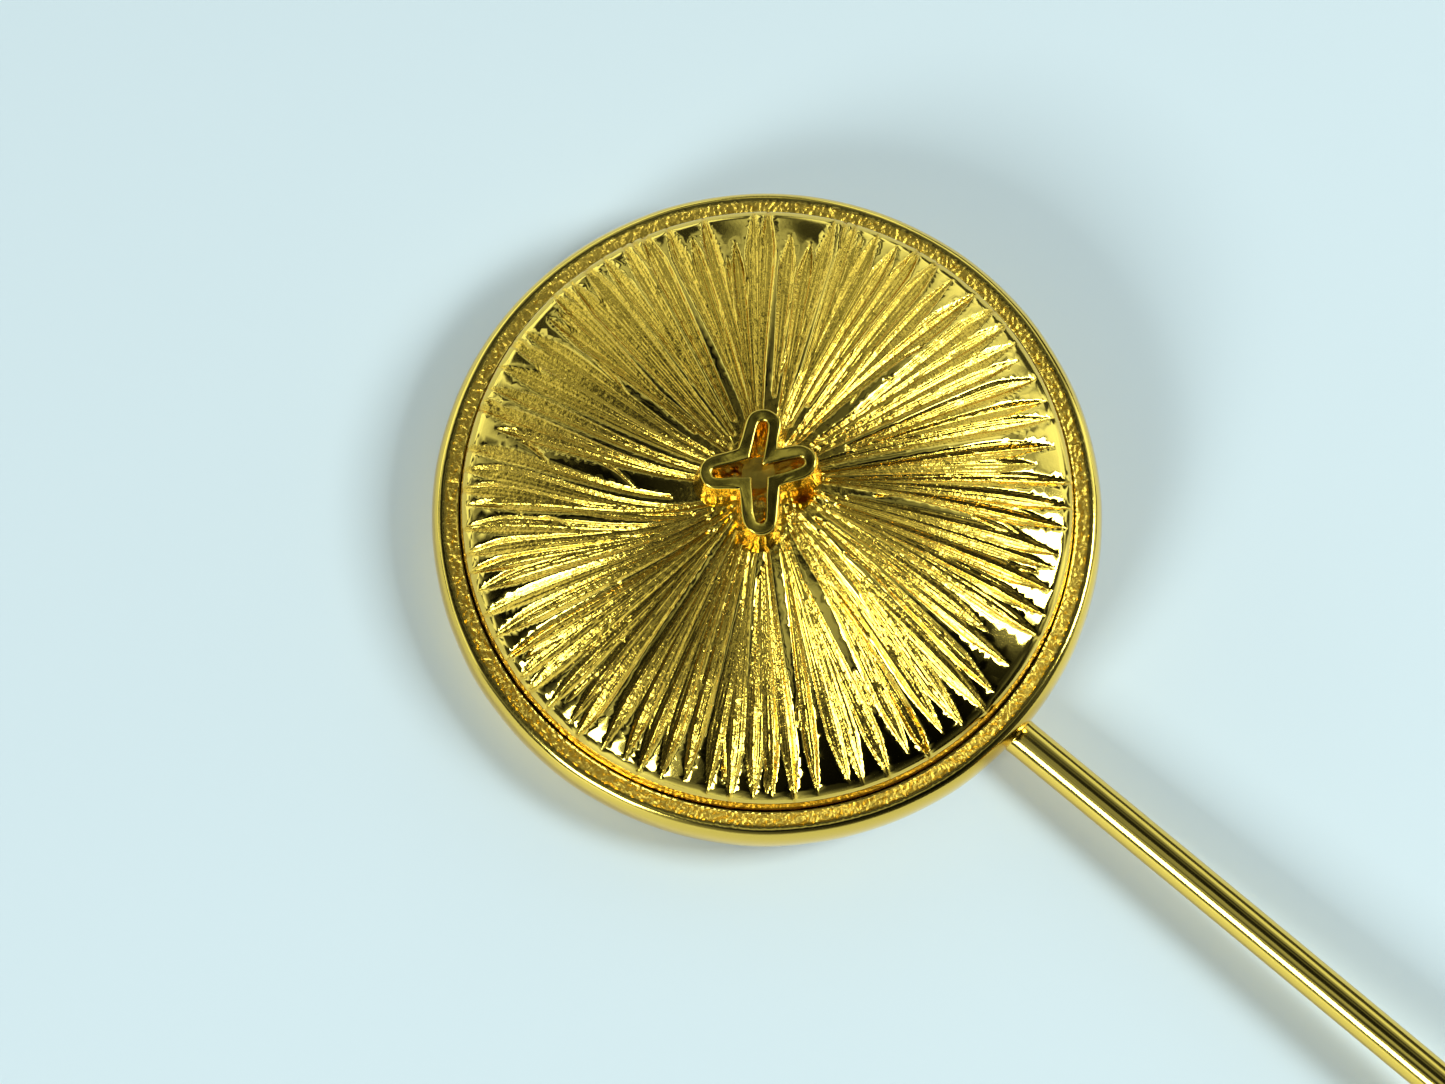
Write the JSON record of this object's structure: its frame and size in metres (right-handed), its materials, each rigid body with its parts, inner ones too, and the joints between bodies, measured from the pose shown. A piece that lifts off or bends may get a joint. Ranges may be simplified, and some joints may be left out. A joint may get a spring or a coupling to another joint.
{
  "type": "stick pin",
  "caption": "Stick pin with a domed sunburst head, a raised star, a rolled rim, a pointed wire stem and a ball-clutch guard on the point.",
  "frame": {"origin": "on the stem's axis, where the round stem comes out from under the head's rim", "axes": "+X along the stem towards its point, +Z the way the head's face looks, +Y completes a right-handed frame"},
  "size_m": [0.069, 0.021, 0.0093],
  "materials": {
    "cast_gold_plate": "gold plate over a granular casting with polished lands",
    "polished_gold_plate": "polished gold plate",
    "satin_gold_plate": "satin gold plate",
    "solder": "flowed solder under gold plate",
    "bare_steel": "turned steel",
    "bare_brass": "turned brass",
    "spring_steel": "drawn spring wire",
    "ball_steel": "polished bearing balls"
  },
  "bodies": {
    "pin": {"face_plate": "cast_gold_plate", "rim_ring": "polished_gold_plate", "back_plate": "satin_gold_plate", "star": "satin_gold_plate", "star_post": "satin_gold_plate", "stem_pad": "satin_gold_plate", "stem_solder": "solder", "stem": "polished_gold_plate"},
    "guard": {"guard_barrel": "polished_gold_plate", "guard_end_plate": "satin_gold_plate", "wedge_sleeve": "bare_steel", "release_spring": "spring_steel"},
    "plunger": {"ball_cage": "bare_brass", "pull_knob": "polished_gold_plate"},
    "ball_1": {"clutch_ball_1": "ball_steel"},
    "ball_2": {"clutch_ball_2": "ball_steel"},
    "ball_3": {"clutch_ball_3": "ball_steel"}
  },
  "joints": [
    {"name": "guard_slide", "type": "slide", "parent": "pin", "child": "guard", "axis": [1, 0, 0], "range_m": [0, 0.02]},
    {"name": "release_slide", "type": "slide", "parent": "guard", "child": "plunger", "axis": [1, 0, 0], "range_m": [0, 0.0008], "stiffness_N_per_m": 400, "deforming": ["release_spring"]},
    {"name": "ball_1_spread", "type": "slide", "parent": "plunger", "child": "ball_1", "axis": [0, 0, 1], "range_m": [0, 0.00018]},
    {"name": "ball_2_spread", "type": "slide", "parent": "plunger", "child": "ball_2", "axis": [0, -0.866, -0.5], "range_m": [0, 0.00018]},
    {"name": "ball_3_spread", "type": "slide", "parent": "plunger", "child": "ball_3", "axis": [0, 0.866, -0.5], "range_m": [0, 0.00018]}
  ],
  "couplings": [
    {"joint": "ball_1_spread", "follows": "release_slide", "ratio": 0.21256},
    {"joint": "ball_2_spread", "follows": "release_slide", "ratio": 0.21256},
    {"joint": "ball_3_spread", "follows": "release_slide", "ratio": 0.21256}
  ]
}
